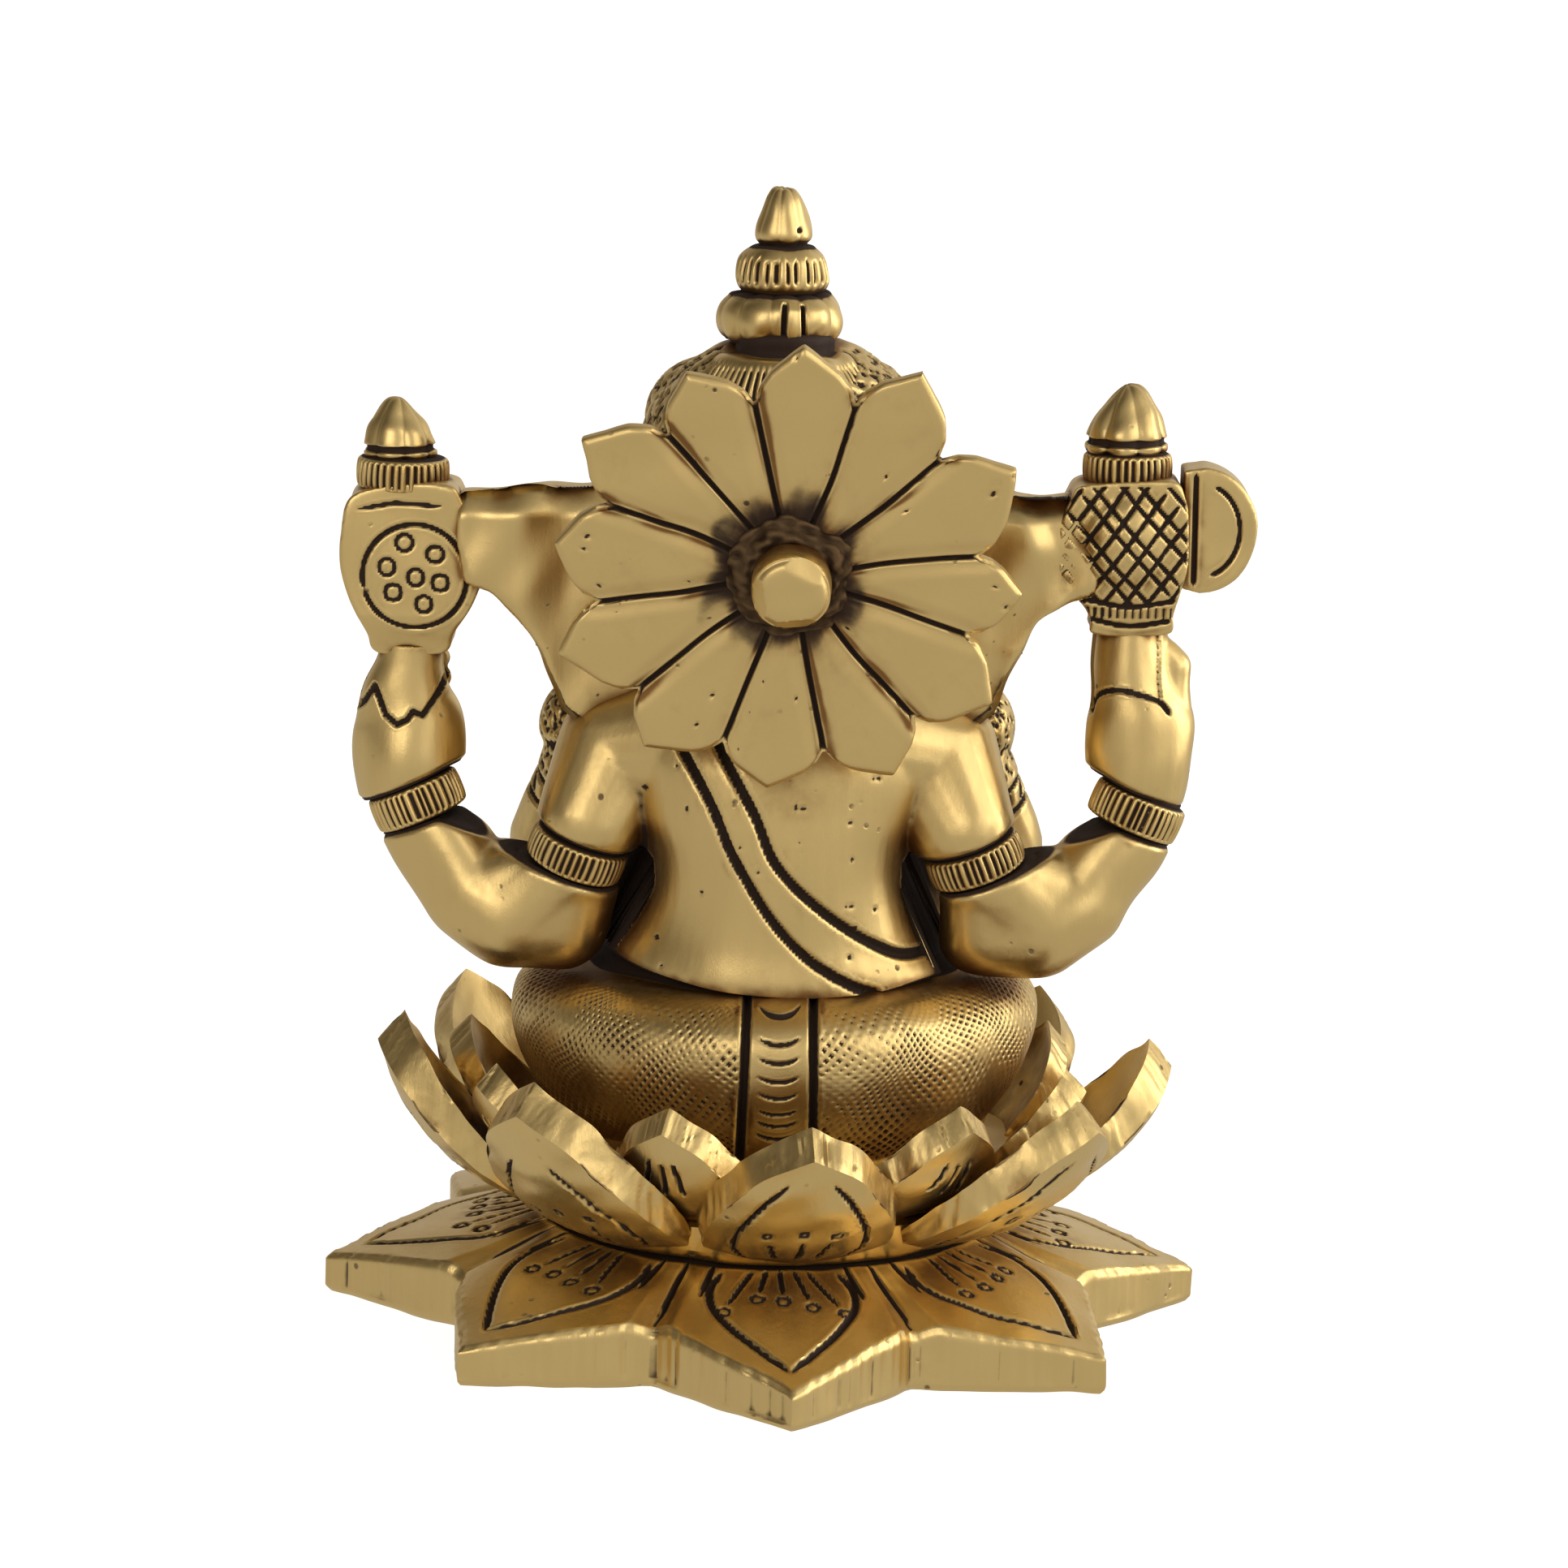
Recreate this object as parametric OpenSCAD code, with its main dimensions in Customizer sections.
// Seated four-armed elephant-headed deity figure in brass, on a lotus, with a rosette halo behind its head.
// Frame: millimetres, +Z up, the figure faces +Y, the origin is the middle of the base plate's underside.
// The figure's own left hand is on the -X side.

/* [Base plate] */
// Radius from the axis to the tip of a point of the base plate
base_r = 44; // [40:0.5:56]
// Radius from the axis to a notch between two points
base_notch_r = 33.2; // [31:0.2:38]
// Height of the plate's flat middle
base_h = 10; // [8:0.5:13]
// Thickness of the plate at the tip of a point
base_tip_h = 3.2; // [2:0.1:5]
// Turn of the points about the upright axis, in degrees
base_turn = 4.5; // [0:0.5:44]

/* [Lotus cup] */
// Number of petals in each row and of points on the base plate
petals = 8; // [6:1:10]
// Radius of the cup's foot on the base plate
cup_foot_r = 22; // [20:0.5:24]
// Radius from the axis to an outer petal's tip
outer_tip_r = 38.3; // [36:0.1:42]
// Height of an outer petal's tip over the base plate's top
outer_tip_rise = 18; // [16:0.5:22]
// Thickness of an outer petal
outer_wall = 3.4; // [2.5:0.1:4]
// Thickness of the outer row's floor
outer_floor = 4; // [3:0.1:5]
// Radius from the axis to an inner petal's tip
inner_tip_r = 32.8; // [32:0.1:33.6]
// Thickness of an inner petal
inner_wall = 2.6; // [2:0.1:3]
// Thickness of the inner row's floor
inner_floor = 3; // [2:0.1:4]
// Turn of the lotus about the upright axis, in degrees
lotus_turn = 8; // [0:0.5:44]

/* [Fixing rivet] */
// Radius of the rivet's shank
rivet_r = 3; // [2:0.1:4]
// Radius of the rivet's flush head
rivet_head_r = 6; // [5:0.1:8]
// Height of the rivet's head
rivet_head_h = 3; // [2:0.1:4]
// How far the rivet reaches into the lower body
rivet_grip = 9; // [5:0.5:12]
// Play between a round tenon or shank and its hole, on the radius
play = 0.05; // [0.02:0.01:0.1]

/* [Lower body] */
// Radius of the lower body at its widest
hip_r = 26; // [21:0.5:27]
// How far the lower body's round is set forward of the figure's axis
hip_forward = 4; // [2:0.5:6]
// Height of the lower body over the lotus floor
hip_h = 19.5; // [17:0.5:22]
// Radius of the thicker end of a thigh
thigh_r = 8; // [6:0.2:8.5]
// Radius of a knee
knee_r = 6; // [5:0.2:6.4]

/* [Torso] */
// Half width of the torso at the waist
waist_r = 16.5; // [14:0.5:18]
// Height of the torso from waist to neck
torso_h = 27; // [24:0.2:33]
// Distance from the axis to a shoulder's middle
shoulder_x = 15; // [13:0.5:17]
// Radius of a shoulder
shoulder_r = 7; // [6:0.2:7.6]
// Radius of the round of the upper back
upper_back_r = 9.5; // [8:0.5:10]
// Radius of the belly
belly_r = 14.5; // [12:0.5:15]
// Radius of the neck tenon
neck_tenon_r = 4; // [3:0.1:5]
// Length of the neck tenon
neck_tenon_h = 4; // [3:0.1:5]

/* [Rear arms] */
// Radius of an armlet's band
armlet_r = 5.6; // [5:0.1:6]
// Width of an armlet's band along the arm
armlet_w = 3.7; // [3:0.1:4.2]
// Radius of an elbow
elbow_r = 6.4; // [5.4:0.1:6.8]
// Radius of a bracelet's band
bracelet_r = 5; // [4.6:0.1:5.4]
// Width of a bracelet's band along the arm
bracelet_w = 3.6; // [3:0.1:4.2]
// Radius of a rear hand and its sleeve at its widest
hand_r = 5.4; // [4.8:0.1:5.8]

/* [Emblems] */
// Radius of the round body of the emblem in the left hand
bud_body_r = 6.8; // [6:0.1:7.2]
// Radius of the round body of the emblem in the right hand
mace_body_r = 6.6; // [6:0.1:7]
// Depth of both emblem bodies from front to back
emblem_depth = 9; // [7:0.2:11]
// Radius of the axe blade
blade_r = 6.4; // [5:0.1:7]
// Thickness of the axe blade
blade_t = 5; // [3:0.2:7]

/* [Head and crown] */
// Half width of the head's dome
head_r = 15; // [12.5:0.5:15.5]
// Height of the dome's middle over the neck
head_rise = 20; // [18:0.5:22]
// Thickness of an ear
ear_t = 5; // [4:0.2:6]
// Radius of the crown's lowest band
crown_r = 9.7; // [8:0.1:11]
// Height of the crown from the head's flat top to the tip
crown_h = 18.8; // [16:0.2:22]
// Radius of the tenons that join the crown's tiers
crown_tenon_r = 1.3; // [1:0.1:1.6]

/* [Halo] */
// Radius from the halo's middle to a petal's tip
halo_r = 22; // [20:0.2:24]
// Thickness of the halo
halo_t = 1.8; // [1.2:0.1:2.6]
// Number of petals on the halo
halo_petals = 12; // [8:1:16]
// How far the halo's middle stands behind the figure's axis
halo_back = 21; // [20:0.5:24]
// Lean of the halo's top away from the head, in degrees
halo_lean = 12; // [8:1:16]
// Radius of the peg that holds the halo
peg_r = 3.7; // [3:0.02:4.5]

/* [Stance] */
// Lean of the whole figure to its left, in degrees
figure_lean = 1.2; // [0:0.1:2]
// Sideways place of the figure on the lotus
figure_x = 0.6; // [-1:0.1:1]

/* [Hidden] */
$fn = 48;

big = 160;                      // larger than the whole object, for cutting planes
hull_fn = 20;                   // facets of a ball inside a hull
polished = [0.80, 0.66, 0.36];
cast = [0.70, 0.55, 0.28];
dark = [0.30, 0.22, 0.14];

// Heights of the stack
cup_z = base_h;
outer_floor_z = cup_z + outer_floor;
seat_z = outer_floor_z + inner_floor;
waist_z = seat_z + hip_h;
neck_z = waist_z + torso_h;
head_z = neck_z + head_rise;
head_depth = head_r - 1.5;
head_half_h = head_r - 1;
crown_z = head_z + head_half_h * 0.7;   // flat top of the head
outer_tip_z = cup_z + outer_tip_rise;
inner_tip_z = outer_tip_z - 0.5;

// Planes where cast sections meet
lap_y = 8;                      // legs in front of it, lower body behind
face_y = head_r - 3;            // trunk and tusks in front of it, head behind
front_arm_y = 4;                // front arms in front of it, torso behind
ear_back_y = -7;                // back face of both ears
ear_root_x = head_r - 2.5;      // inner edge of an ear, seated in the head's side
ear_top_z = head_z;
ear_tip_x = 30.5;

// Heights of the crown's tiers
crown_tenon_h = 2.2;
tier_z = crown_z + crown_h * 0.21;
ring_z = tier_z + crown_h * 0.27;
finial_z = ring_z + crown_h * 0.23;
tip_z = crown_z + crown_h;

// Halo's middle, its peg and the braze round the peg
halo_x = 1.2;
halo_z = head_z - 5.7;
peg_root = 26 - head_r;         // how far the peg reaches forward of the halo
peg_end = 5;                    // how far the peg's end stands out behind the halo
braze_r = peg_r + 2.6;
braze_h = 1.7;

// Route of a rear arm, for the +X side; the other arm is its mirror image
arm_top = [shoulder_x, -3, neck_z - 6.5];
armlet_dir = [0.36, 0.10, -0.93];
armlet_low = [20.4, -6, waist_z + 8.9];
armlet_high = armlet_low - armlet_dir * armlet_w;
elbow = [25.8, -4.5, waist_z + 4.4];
bracelet_dir = [0.45, 0.05, 0.89];
bracelet_low = [34.9, -2.6, waist_z + 13.2];
bracelet_high = bracelet_low + bracelet_dir * bracelet_w;
hand_x = 36;
hand_y = -2;
hand_top_z = neck_z + 2.5;
left_emblem_x = 36.3;
right_emblem_x = 33.6;
blade_seat_x = 39.2;

bud_collar_z = hand_top_z + 14.7;
bud_z = bud_collar_z + 3.6;
mace_collar_z = hand_top_z + 18.2;
mace_bud_z = mace_collar_z + 3.2;

// Front arms, for the +X side
front_shoulder = [shoulder_x + 2.5, 5, neck_z - 7];
front_elbow = [22.5, 9, waist_z + 8.5];
front_wrist = [15.5, 19.5, waist_z + 11.5];
front_band_w = 2.4;
front_dir = (front_wrist - front_elbow) / norm(front_wrist - front_elbow);
front_band_low = front_wrist - front_dir * front_band_w;

bowl_r = 5.2;
bowl_h = 4;
bowl_place = [-front_wrist[0] + 3, front_wrist[1] + 5.4, front_wrist[2] + 0.6];

// A point on the curve from a to c that leans towards b
function curve(a, b, c, t) = pow(1 - t, 2) * a + 2 * t * (1 - t) * b + pow(t, 2) * c;

// Turns its children so that their +Z points along d
module aim(d) {
  rotate([0, acos(d[2] / norm(d)), atan2(d[1], d[0])]) children();
}

// Everything beyond a plane through p, on the side that n points to
module beyond(p, n) {
  translate(p) aim(n) translate([-big, -big, 0]) cube([2 * big, 2 * big, big]);
}

// A round bar from p to q
module bar(p, q, r1, r2) {
  translate(p) aim(q - p) cylinder(h = norm(q - p), r1 = r1, r2 = r2);
}

// A ball at p
module ball(p, r) {
  translate(p) sphere(r);
}

// A limb from p to q with round ends
module limb(p, q, r1, r2) {
  hull() {
    translate(p) sphere(r1, $fn = hull_fn);
    translate(q) sphere(r2, $fn = hull_fn);
  }
}

// Places the figure on the lotus with its slight lean
module stance() {
  translate([figure_x, 0, seat_z]) rotate([0, -figure_lean, 0]) translate([0, 0, -seat_z]) children();
}

// The +X side for side 1 and its mirror image for side -1
module on_side(side) {
  if (side > 0) children();
  else mirror([1, 0, 0]) children();
}

// Outline with n leaves: spots are [radius, share of the half angle] from notch to tip
module leaf_outline(n, spots) {
  half = 180 / n;
  count = len(spots);
  polygon([
    for (k = [0 : n - 1])
      for (s = [-count + 1 : count - 1])
        let (spot = spots[count - 1 - abs(s)], a = k * 2 * half + sign(s) * spot[1] * half)
        if (s > -count + 1) spot[0] * [cos(a), sin(a)]
  ]);
}

// Half section of a petal bowl: outer line from foot to tip, wall thick, floor up to floor_z
module bowl_section(foot, belly, tip, wall, floor_z) {
  steps = 8;
  outer = [for (i = [0 : steps]) curve(foot, belly, tip, i / steps)];
  inner = [
    for (i = [steps : -1 : 0])
      let (p = curve(foot - [wall, 0], belly + [-wall, wall * 0.7], tip - [wall, 0], i / steps))
      if (p[1] > floor_z + 0.2) p
  ];
  last = inner[len(inner) - 1];
  polygon(concat([[0, foot[1]]], outer, inner, [[last[0] - 1.5, floor_z], [0, floor_z]]));
}

// Star plate that carries everything
module star_base() {
  color(cast)
  difference() {
    intersection() {
      rotate([0, 0, base_turn])
        linear_extrude(height = base_h)
          leaf_outline(petals, [[base_notch_r, 1], [(base_notch_r + base_r) / 2, 0.47], [base_r, 0]]);
      rotate_extrude($fn = 96)
        polygon([
          [0, 0], [base_r + 1, 0], [base_r + 1, base_tip_h - 0.3],
          [cup_foot_r + 1.5, base_h], [0, base_h]
        ]);
    }
    rivet_hole(0, base_h);
    translate([0, 0, -1]) cylinder(h = rivet_head_h + 1, r = rivet_head_r + play);
  }
}

// Clear hole for the rivet's shank from height a to height b
module rivet_hole(a, b) {
  translate([0, 0, a - 1]) cylinder(h = b - a + 2, r = rivet_r + play);
}

// Cup with the outer row of petals
module lotus_outer_petals() {
  reach = outer_tip_r;
  color(polished)
  difference() {
    intersection() {
      rotate_extrude($fn = 96)
        bowl_section([cup_foot_r, cup_z], [reach - 2.3, cup_z + 4], [reach, outer_tip_z],
                     outer_wall, outer_floor_z);
      rotate([0, 0, lotus_turn])
        translate([0, 0, cup_z - 1]) linear_extrude(height = outer_tip_rise + 2)
          leaf_outline(petals, [[reach * 0.70, 1], [reach * 0.79, 0.84], [reach * 0.88, 0.66],
                                [reach * 0.95, 0.38], [reach, 0]]);
    }
    rivet_hole(cup_z, outer_floor_z);
  }
}

// Ring with the inner row of petals
module lotus_inner_petals() {
  reach = inner_tip_r;
  color(polished)
  difference() {
    intersection() {
      rotate_extrude($fn = 96)
        bowl_section([cup_foot_r - 2, outer_floor_z], [reach - 2, outer_floor_z + 3],
                     [reach, inner_tip_z], inner_wall, seat_z);
      rotate([0, 0, lotus_turn + 180 / petals])
        translate([0, 0, outer_floor_z - 1]) linear_extrude(height = inner_tip_z)
          leaf_outline(petals, [[reach * 0.66, 1], [reach * 0.80, 0.74], [reach * 0.90, 0.58],
                                [reach * 0.96, 0.36], [reach, 0]]);
    }
    rivet_hole(outer_floor_z, seat_z);
  }
}

// Rivet that holds base, lotus and figure together, its head flush with the underside
module fixing_rivet() {
  color(cast) {
    cylinder(h = rivet_head_h, r = rivet_head_r);
    cylinder(h = seat_z + rivet_grip, r = rivet_r);
  }
}

// Round lower body in its patterned cloth, behind the legs
module lower_body() {
  color(cast)
  difference() {
    intersection() {
      stance()
        translate([0, hip_forward, 0])
          rotate_extrude($fn = 96)
            polygon([
              [0, seat_z - 2], [hip_r - 6, seat_z - 2], [hip_r - 4, seat_z + 3.5], [hip_r - 1, seat_z + 7.5],
              [hip_r, seat_z + 12], [hip_r - 0.8, seat_z + 15.5], [hip_r - 4, seat_z + hip_h - 1.6],
              [hip_r - 7.5, waist_z], [0, waist_z]
            ]);
      beyond([0, 0, seat_z], [0, 0, 1]);
      stance() beyond([0, lap_y, 0], [0, -1, 0]);
    }
    rivet_hole(seat_z, seat_z + rivet_grip - 1 + play);
  }
}

// Folded leg whose shin lies low in front
module left_leg() {
  knee = [-19.5, lap_y + 4, seat_z + 9.5];
  ankle = [4, lap_y + 13, seat_z + 4.2];
  color(polished)
  intersection() {
    stance()
      intersection() {
        union() {
          limb([-11, lap_y - 2, seat_z + 9.5], knee, thigh_r, knee_r);
          limb(knee, ankle, knee_r, 3.8);
          limb(ankle, ankle + [8, -2, -0.4], 3.6, 2.8);
        }
        beyond([0, lap_y, 0], [0, 1, 0]);
      }
    beyond([0, 0, seat_z], [0, 0, 1]);
  }
}

// Folded leg whose shin rests above the other
module right_leg() {
  knee = [19.5, lap_y + 4, seat_z + 11.5];
  ankle = [-2, lap_y + 13.5, seat_z + 14];
  color(polished)
  stance()
    intersection() {
      union() {
        limb([11, lap_y - 2, seat_z + 9.5], knee, thigh_r, knee_r);
        limb(knee, ankle, knee_r, 3.8);
        limb(ankle, ankle + [-8, -2, 2.6], 3.4, 2.6);
      }
      beyond([0, lap_y, 0], [0, 1, 0]);
    }
}

// Torso with both shoulders and rear upper arms, down to the armlets
module torso() {
  chest_z = waist_z + 11;
  color(polished)
  stance()
    difference() {
      union() {
        intersection() {
          union() {
            hull() {
              translate([0, -2, waist_z]) scale([1, 0.82, 1]) cylinder(h = 1, r = waist_r, $fn = 40);
              translate([0, -3, chest_z - 1]) scale([1, 0.9, 1]) cylinder(h = 1, r = 12.5, $fn = 40);
            }
            hull() {
              translate([0, -3, chest_z - 1]) scale([1, 0.9, 1]) cylinder(h = 1, r = 12.5, $fn = 40);
              for (side = [-1, 1])
                translate([side * (shoulder_x - 2), -3, arm_top[2]]) sphere(shoulder_r, $fn = hull_fn);
              translate([0, -5, arm_top[2] - 3]) sphere(upper_back_r, $fn = hull_fn);
              translate([0, -2, neck_z - 1]) cylinder(h = 1, r = 8.5, $fn = 40);
            }
            for (side = [-1, 1]) on_side(side)
              intersection() {
                limb(arm_top, armlet_high + armlet_dir * 3, shoulder_r, armlet_r - 0.4);
                beyond(armlet_high, -armlet_dir);
              }
          }
          beyond([0, front_arm_y, 0], [0, -1, 0]);
          beyond([0, 0, waist_z], [0, 0, 1]);
        }
        intersection() {
          ball([0, 3, waist_z + belly_r * 0.62], belly_r);
          beyond([0, front_arm_y - 0.5, 0], [0, 1, 0]);
          beyond([0, 0, waist_z], [0, 0, 1]);
        }
        translate([0, -2, neck_z - 1]) cylinder(h = neck_tenon_h + 1 - play, r = neck_tenon_r);
      }
      translate([0, 0, neck_z]) difference() {
        translate([-big / 2, -big / 2, 0]) cube([big, big, big]);
        translate([0, -2, -1]) cylinder(h = big, r = neck_tenon_r + play);
      }
    }
}

// Dome and cheeks of the head, open below for the neck tenon and behind for the peg
module head() {
  color(cast)
  stance()
    difference() {
      intersection() {
        union() {
          translate([0, 1.5, head_z]) scale([head_r, head_depth, head_half_h] / head_r) sphere(head_r);
          ball([0, 1.5, neck_z + 9], ear_root_x);
        }
        beyond([0, 0, neck_z], [0, 0, 1]);
        beyond([0, 0, crown_z], [0, 0, -1]);
        beyond([0, face_y, 0], [0, -1, 0]);
      }
      translate([0, -2, neck_z - 1]) cylinder(h = neck_tenon_h + 1 + play, r = neck_tenon_r + play);
      translate([0, 0, crown_z - crown_tenon_h - play]) cylinder(h = big, r = crown_tenon_r + play);
      for (side = [-1, 1]) on_side(side)
        translate([ear_root_x, ear_back_y, neck_z - 1])
          cube([big, ear_t, ear_top_z - neck_z + 1]);
      peg_place() cylinder(h = 2 * big, r = peg_r + play, center = true);
    }
}

// Fan-shaped ear from the head's side out to the raised emblem
module ear(emblem_r, emblem_x) {
  stance()
    difference() {
      translate([0, ear_back_y + ear_t, 0]) rotate([90, 0, 0])
        linear_extrude(height = ear_t)
          polygon([
            [ear_root_x, ear_top_z], [ear_tip_x, ear_top_z - 1], [ear_tip_x, ear_top_z - 9.5],
            [ear_tip_x - 4.6, ear_top_z - 12], [ear_tip_x - 7.6, ear_top_z - 16.5],
            [ear_tip_x - 9.5, neck_z], [ear_root_x, neck_z]
          ]);
      translate([emblem_x, hand_y, 0]) cylinder(h = big, r = emblem_r);
    }
}

module left_ear() {
  color(cast) mirror_in_stance() ear(bud_body_r + play, left_emblem_x);
}

module right_ear() {
  color(cast) ear(mace_body_r + play, right_emblem_x);
}

// Mirror image across the leaning figure's own middle plane
module mirror_in_stance() {
  stance() mirror([1, 0, 0]) unstance() children();
}

// Undoes stance
module unstance() {
  translate([0, 0, seat_z]) rotate([0, figure_lean, 0]) translate([-figure_x, 0, -seat_z]) children();
}

// Trunk, hanging in front of the belly with its tip turned to the sweets
module trunk() {
  tip_y = bowl_place[1] - 3.4;
  bowl_rim_z = bowl_place[2] + bowl_h;
  spots = [
    [0, face_y - 1, neck_z + 11, 5.4], [0, face_y + 5, neck_z + 5, 5], [0, tip_y - 1, neck_z - 3, 4.4],
    [-1, tip_y - 0.5, bowl_rim_z + 1.9, 3.6], [-3.6, tip_y, bowl_rim_z - 1.3, 2.9],
    [-6.4, tip_y, bowl_rim_z - 0.7, 2.4]
  ];
  color(polished)
  stance()
    intersection() {
      union() {
        for (i = [0 : len(spots) - 2])
          limb([for (j = [0 : 2]) spots[i][j]], [for (j = [0 : 2]) spots[i + 1][j]],
               spots[i][3], spots[i + 1][3]);
      }
      beyond([0, face_y, 0], [0, 1, 0]);
    }
}

// One whole tusk and one broken short
module tusks() {
  root_x = head_r * 0.44;
  color(polished)
  stance() {
    bar([root_x, face_y, neck_z + 7], [root_x + 2.4, face_y + 8, neck_z + 4.6], 1.4, 0.7);
    bar([-root_x, face_y, neck_z + 7], [-root_x - 1.1, face_y + 3.6, neck_z + 5.9], 1.4, 1.05);
  }
}

// One turned tier of the crown: its section from z0 to z1, a tenon below and a socket above
module tier(section, z0, socket_z) {
  stance()
    difference() {
      union() {
        rotate_extrude($fn = 72) polygon(section);
        translate([0, 0, z0 - crown_tenon_h]) cylinder(h = crown_tenon_h + 0.5, r = crown_tenon_r);
      }
      translate([0, 0, socket_z - crown_tenon_h - play]) cylinder(h = big, r = crown_tenon_r + play);
    }
}

module crown_band() {
  color(cast)
  tier([[0, crown_z], [crown_r - 0.8, crown_z], [crown_r, crown_z + 1.2], [crown_r - 0.4, crown_z + 2.8],
        [crown_r - 3.2, tier_z], [0, tier_z]], crown_z, tier_z);
}

module crown_tier() {
  r = crown_r * 0.62;
  color(polished)
  tier([[0, tier_z], [r - 0.5, tier_z], [r, tier_z + 1.2], [r, tier_z + 3], [r - 1, ring_z - 0.6],
        [r - 2.2, ring_z], [0, ring_z]], tier_z, ring_z);
}

module crown_ring() {
  r = crown_r * 0.45;
  color(cast)
  tier([[0, ring_z], [r - 0.8, ring_z], [r, ring_z + 1], [r, finial_z - 1.4], [r - 1.4, finial_z],
        [0, finial_z]], ring_z, finial_z);
}

module crown_finial() {
  r = crown_r * 0.28;
  color(polished)
  stance() {
    rotate_extrude($fn = 72)
      polygon([[0, finial_z], [r - 0.4, finial_z], [r, finial_z + 0.8], [r * 0.86, finial_z + 2.6],
               [r * 0.45, tip_z - 0.7], [0, tip_z]]);
    translate([0, 0, finial_z - crown_tenon_h]) cylinder(h = crown_tenon_h + 0.5, r = crown_tenon_r);
  }
}

// Puts +Z along the peg, pointing away from the head, with the halo's middle at the origin
module peg_place() {
  translate([halo_x, -halo_back, halo_z]) rotate([90 + halo_lean, 0, 0]) children();
}

// Rosette plate behind the head
module halo_rosette() {
  color(polished)
  stance() peg_place()
    difference() {
      linear_extrude(height = halo_t)
        leaf_outline(halo_petals, [[halo_r * 0.8, 1], [halo_r * 0.93, 0.62], [halo_r, 0]]);
      translate([0, 0, -1]) cylinder(h = halo_t + 2, r = peg_r + play);
    }
}

// Peg from the back of the head through the halo
module halo_peg() {
  color(cast)
  stance() peg_place() translate([0, 0, -peg_root]) cylinder(h = peg_root + halo_t + peg_end, r = peg_r);
}

// Ring of braze metal between peg and halo
module halo_braze_ring() {
  color(dark)
  stance() peg_place()
    rotate_extrude($fn = 72)
      polygon([[peg_r + play, halo_t], [braze_r, halo_t], [peg_r + 1.2, halo_t + braze_h / 2],
               [peg_r + play, halo_t + braze_h]]);
}

// Ribbed band on an upper arm
module armlet(side) {
  color(cast)
  stance() on_side(side)
    intersection() {
      bar(armlet_high - armlet_dir * 2, armlet_low + armlet_dir * 2, armlet_r, armlet_r);
      beyond(armlet_high, armlet_dir);
      beyond(armlet_low, -armlet_dir);
    }
}

// Bent arm from armlet to bracelet
module forearm(side) {
  color(polished)
  stance() on_side(side)
    intersection() {
      union() {
        ball(elbow, elbow_r);
        bar(armlet_low - (elbow - armlet_low) * 0.4, elbow, armlet_r - 0.8, elbow_r - 0.5);
        bar(elbow, bracelet_low + (bracelet_low - elbow) * 0.3, elbow_r - 0.5, bracelet_r - 0.6);
      }
      beyond(armlet_low, armlet_dir);
      beyond(bracelet_low, -bracelet_dir);
    }
}

// Ribbed band above a forearm
module bracelet(side) {
  color(cast)
  stance() on_side(side)
    intersection() {
      bar(bracelet_low - bracelet_dir * 2, bracelet_high + bracelet_dir * 2, bracelet_r, bracelet_r);
      beyond(bracelet_low, bracelet_dir);
      beyond(bracelet_high, -bracelet_dir);
    }
}

// Raised hand in its sleeve, from the bracelet up to the emblem
module rear_hand(side) {
  z0 = bracelet_high[2];
  color(polished)
  stance() on_side(side)
    intersection() {
      translate([hand_x, hand_y, 0])
        rotate_extrude()
          polygon([[0, z0 - 3], [hand_r - 0.8, z0 - 3], [hand_r, z0 + 3], [hand_r - 0.2, z0 + 6],
                   [hand_r - 1.2, z0 + 10], [hand_r - 2.2, hand_top_z], [0, hand_top_z]]);
      beyond(bracelet_high, bracelet_dir);
    }
}

// Turned body of an emblem, flattened front and back
module emblem_body(x, section) {
  intersection() {
    translate([x, hand_y, 0]) rotate_extrude() polygon(section);
    translate([0, hand_y - emblem_depth / 2, 0]) cube([big, emblem_depth, big]);
  }
}

module left_emblem_body() {
  r = bud_body_r;
  z = hand_top_z;
  color(polished)
  stance() on_side(-1)
    emblem_body(left_emblem_x,
                [[0, z], [r - 3.6, z], [r - 2, z + 2.4], [r - 0.5, z + 5.5], [r, z + 8.6],
                 [r - 0.6, z + 12], [r - 2, bud_collar_z], [0, bud_collar_z]]);
}

module left_emblem_collar() {
  color(cast)
  stance() on_side(-1) translate([left_emblem_x + 0.6, hand_y, bud_collar_z])
    rotate_extrude()
      polygon([[0, 0], [4.3, 0], [4.9, 1], [4.8, 2.4], [3.9, bud_z - bud_collar_z],
               [0, bud_z - bud_collar_z]]);
}

module left_emblem_bud() {
  color(polished)
  stance() on_side(-1) translate([left_emblem_x + 0.9, hand_y, bud_z])
    rotate_extrude() polygon([[0, 0], [3.5, 0], [3.7, 0.9], [3.0, 2.8], [1.3, 5.2], [0.4, 6], [0, 6.1]]);
}

module right_emblem_body() {
  r = mace_body_r;
  z = hand_top_z;
  color(cast)
  stance()
    intersection() {
      emblem_body(right_emblem_x,
                  [[0, z], [3.6, z], [3.7, z + 4], [4.7, z + 4.6], [4.7, z + 6.2], [r - 1.4, z + 7.4],
                   [r, z + 11], [r - 0.2, z + 14], [r - 2, mace_collar_z], [0, mace_collar_z]]);
      beyond([blade_seat_x, 0, 0], [-1, 0, 0]);
    }
}

module right_emblem_collar() {
  color(cast)
  stance() translate([right_emblem_x + 0.3, hand_y, mace_collar_z])
    rotate_extrude()
      polygon([[0, 0], [4.1, 0], [4.5, 0.8], [4.4, 2.2], [3.9, mace_bud_z - mace_collar_z],
               [0, mace_bud_z - mace_collar_z]]);
}

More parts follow.
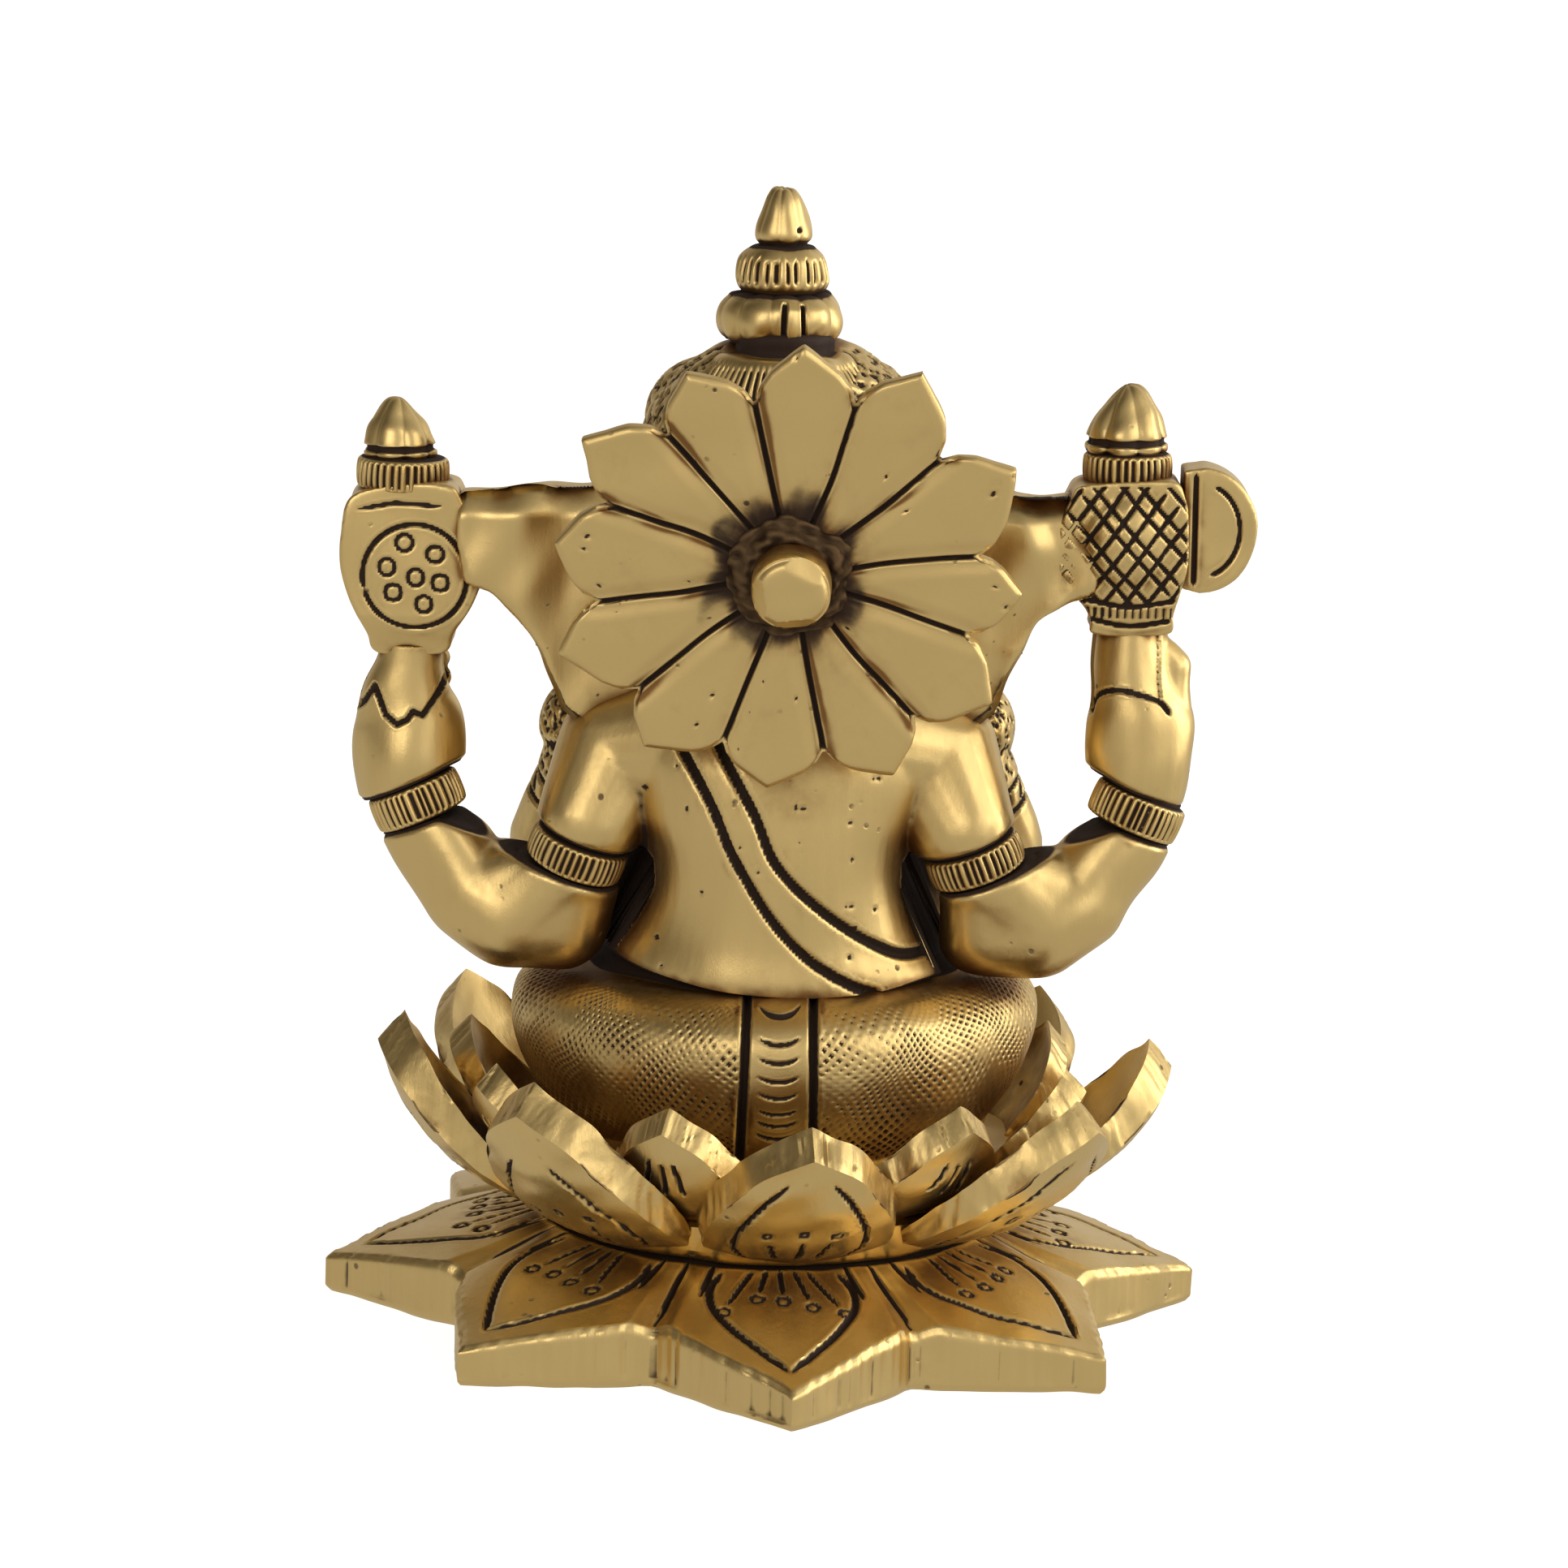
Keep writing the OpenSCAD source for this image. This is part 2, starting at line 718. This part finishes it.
module right_emblem_bud() {
  color(polished)
  stance() translate([right_emblem_x, hand_y, mace_bud_z])
    rotate_extrude() polygon([[0, 0], [3.8, 0], [3.9, 1.4], [3.2, 3.8], [1.5, 6.2], [0.5, 7], [0, 7.1]]);
}

// Half-round blade on the outer side of the right emblem
module axe_blade() {
  color(polished)
  stance()
    intersection() {
      translate([blade_seat_x + 1, hand_y + blade_t / 2, hand_top_z + 13.5])
        rotate([90, 0, 0]) cylinder(h = blade_t, r = blade_r);
      beyond([blade_seat_x, 0, 0], [1, 0, 0]);
    }
}

// Front arm from the torso's front to the bracelet
module front_arm(side) {
  color(polished)
  stance() on_side(side)
    intersection() {
      union() {
        limb(front_shoulder, front_elbow, 5.2, 4.6);
        limb(front_elbow, front_wrist, 4.6, 3.4);
      }
      beyond([0, front_arm_y, 0], [0, 1, 0]);
      beyond(front_band_low, -front_dir);
    }
}

module front_bracelet(side) {
  color(cast)
  stance() on_side(side)
    intersection() {
      bar(front_band_low - front_dir, front_wrist + front_dir, 4, 4);
      beyond(front_band_low, front_dir);
      beyond(front_wrist, -front_dir);
    }
}

// Hand held up with its palm to the front
module right_front_hand() {
  palm = front_wrist + [0.3, 1.6, 4];
  color(polished)
  stance()
    intersection() {
      union() {
        limb(front_wrist, palm, 3.1, 3.2);
        hull() {
          for (dx = [-2.6, 2.6]) translate(palm + [dx, 0.3, 0]) sphere(1.8, $fn = 16);
          for (dx = [-2.2, 2.2]) translate(palm + [dx, 0.6, 8]) sphere(1.3, $fn = 16);
        }
      }
      beyond(front_wrist, front_dir);
    }
}

// Open hand under the bowl
module left_front_hand() {
  wrist = [-front_wrist[0], front_wrist[1], front_wrist[2]];
  color(polished)
  stance()
    intersection() {
      limb(wrist, bowl_place - [0.4, 0.6, 2.8], 3.1, 2.8);
      beyond(wrist, [-front_dir[0], front_dir[1], front_dir[2]]);
      beyond([0, 0, bowl_place[2]], [0, 0, -1]);
    }
}

module sweet_bowl() {
  color(cast)
  stance() translate(bowl_place)
    rotate_extrude() polygon([[0, 0], [2.6, 0], [4.6, 1.6], [bowl_r, bowl_h], [0, bowl_h]]);
}

// Round sweets heaped in the bowl
module sweets() {
  r = 1.7;
  color(polished)
  stance() translate(bowl_place + [0, 0, bowl_h])
    intersection() {
      union() {
        for (a = [0 : 72 : 288]) translate([2.9 * cos(a), 2.9 * sin(a), r * 0.7]) sphere(r);
        translate([0, 0, r * 1.2]) sphere(r + 0.5);
      }
      beyond([0, 0, 0], [0, 0, 1]);
    }
}

star_base();
lotus_outer_petals();
lotus_inner_petals();
fixing_rivet();
lower_body();
left_leg();
right_leg();
torso();
head();
left_ear();
right_ear();
trunk();
tusks();
crown_band();
crown_tier();
crown_ring();
crown_finial();
halo_rosette();
halo_peg();
halo_braze_ring();
armlet(-1);  // left_armlet
forearm(-1);  // left_forearm
bracelet(-1);  // left_bracelet
rear_hand(-1);  // left_rear_hand
armlet(1);  // right_armlet
forearm(1);  // right_forearm
bracelet(1);  // right_bracelet
rear_hand(1);  // right_rear_hand
left_emblem_body();
left_emblem_collar();
left_emblem_bud();
right_emblem_body();
right_emblem_collar();
right_emblem_bud();
axe_blade();
front_arm(-1);  // left_front_arm
front_arm(1);  // right_front_arm
front_bracelet(-1);  // left_front_bracelet
front_bracelet(1);  // right_front_bracelet
left_front_hand();
right_front_hand();
sweet_bowl();
sweets();
